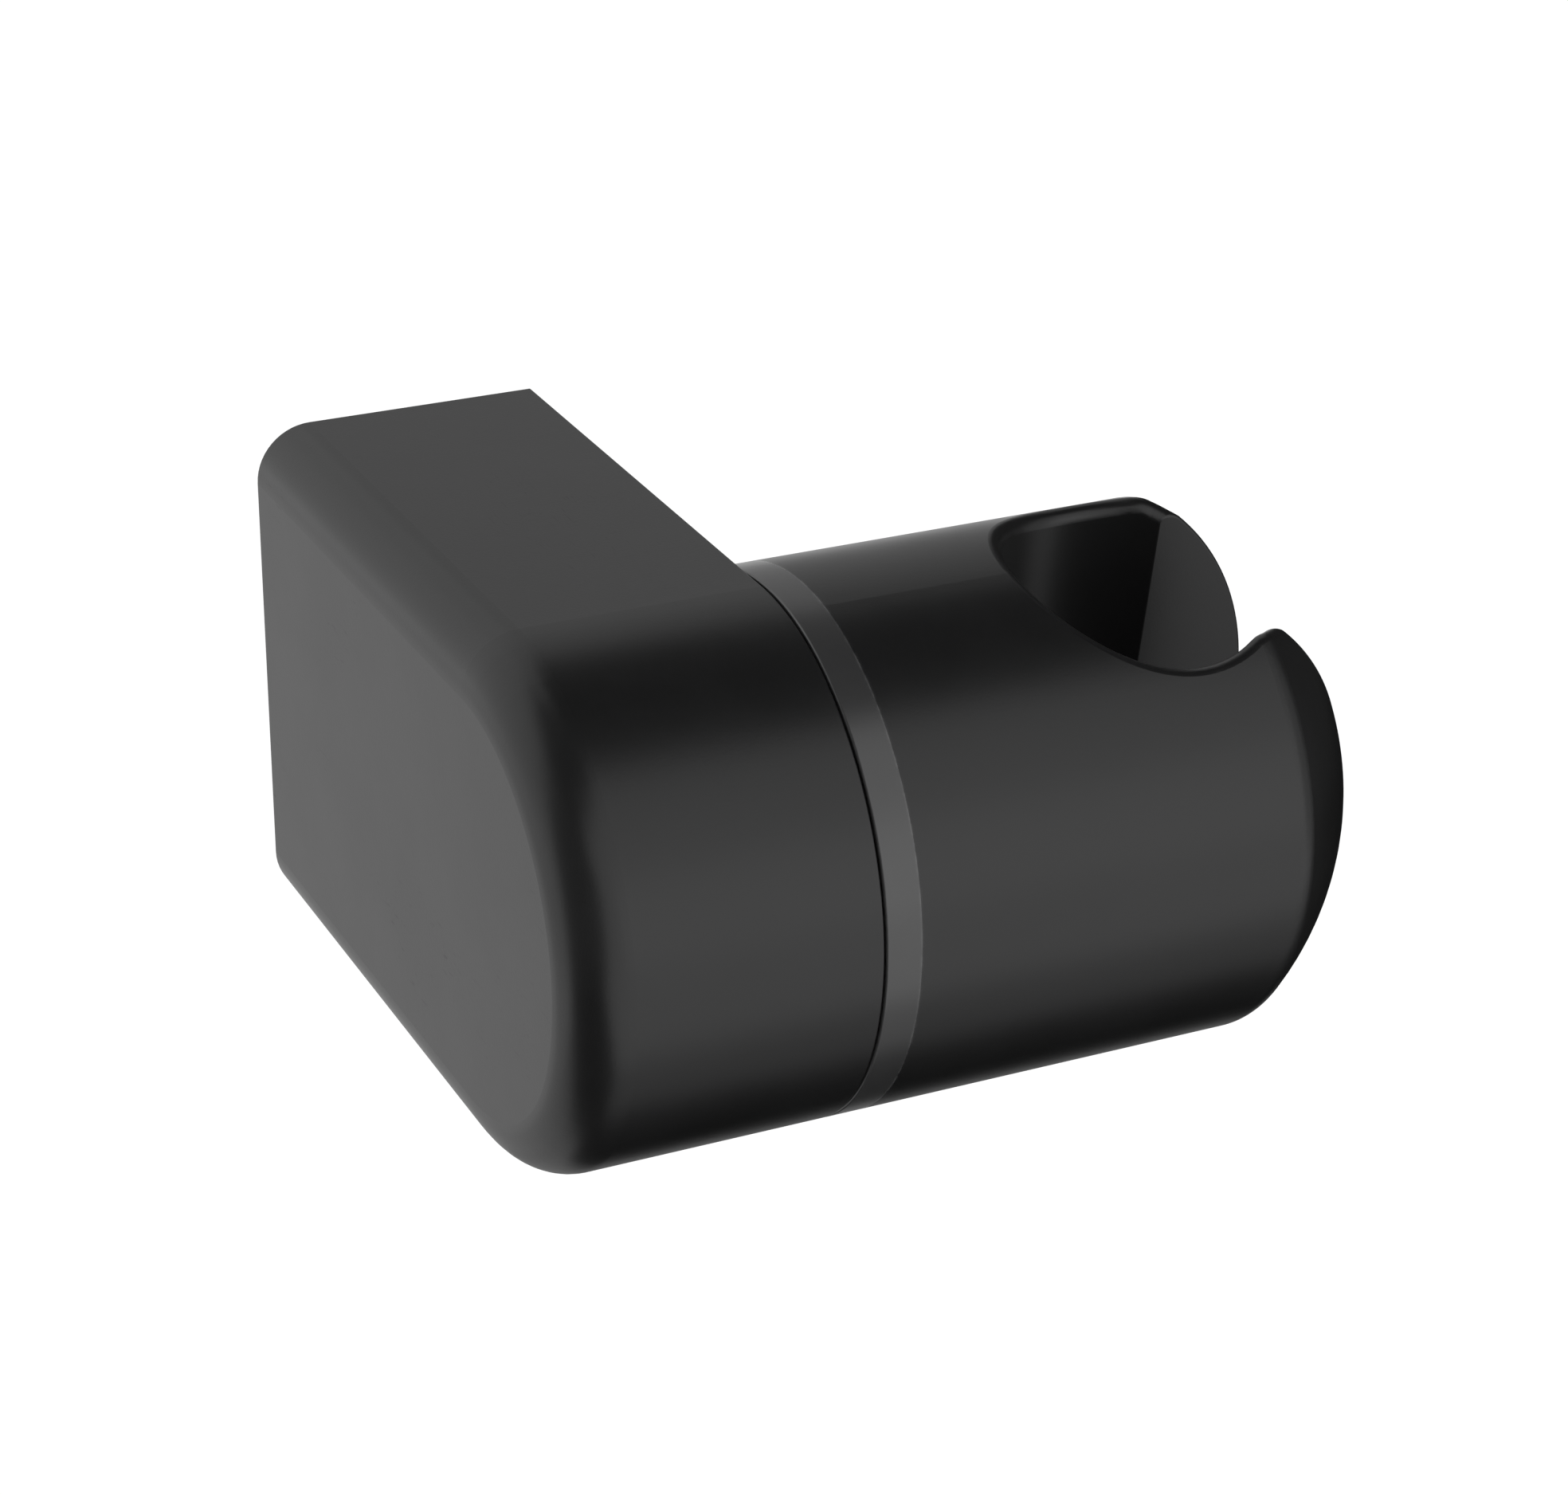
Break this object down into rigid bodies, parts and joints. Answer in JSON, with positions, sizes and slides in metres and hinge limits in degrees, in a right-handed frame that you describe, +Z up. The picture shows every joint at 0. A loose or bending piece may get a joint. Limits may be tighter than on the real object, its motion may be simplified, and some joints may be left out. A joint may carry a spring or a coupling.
{
  "type": "hand shower holder",
  "caption": "Hand shower holder for a wall: a D-shaped housing with a swivelling barrel cradle, domed and slotted at its free end, with a conical seat for the hose nut.",
  "frame": {"origin": "centre of the wall plate's back face, in the plane of the wall", "axes": "+X along the pivot towards the cradle, +Y into the wall, +Z up"},
  "size_m": [0.079, 0.0755, 0.048],
  "materials": {
    "black_moulding": "satin black moulding",
    "grey_trim": "satin dark grey",
    "stainless_sheet": "brushed sheet",
    "stainless_steel": "turned",
    "spring_steel": "blued",
    "brass": "turned",
    "pale_nylon": "natural",
    "friction_fibre": "fibre",
    "zinc_casting": "as cast",
    "seal_rubber": "matte"
  },
  "bodies": {
    "bracket": {"wall_housing": "black_moulding", "wall_plate": "stainless_sheet", "grub_screw": "stainless_steel", "grub_insert": "brass", "pivot_bush": "pale_nylon", "outer_friction_disc": "friction_fibre", "inner_friction_disc": "friction_fibre", "stop_pin": "stainless_steel"},
    "cradle": {"cradle_body": "black_moulding", "trim_ring": "grey_trim", "hub_plate": "zinc_casting", "hub_screws": "stainless_steel", "hub_inserts": "brass", "spindle": "stainless_steel", "spindle_seal": "seal_rubber", "thrust_washer": "stainless_steel", "disc_springs": "spring_steel", "tab_washer": "stainless_steel", "lock_nut": "stainless_steel", "nut_insert": "pale_nylon"}
  },
  "joints": [
    {"name": "cradle_swivel", "type": "hinge", "parent": "bracket", "child": "cradle", "pos_m": [0, -0.0515, 0], "axis": [1, 0, 0], "range_deg": [-56.7, 33.3]}
  ]
}
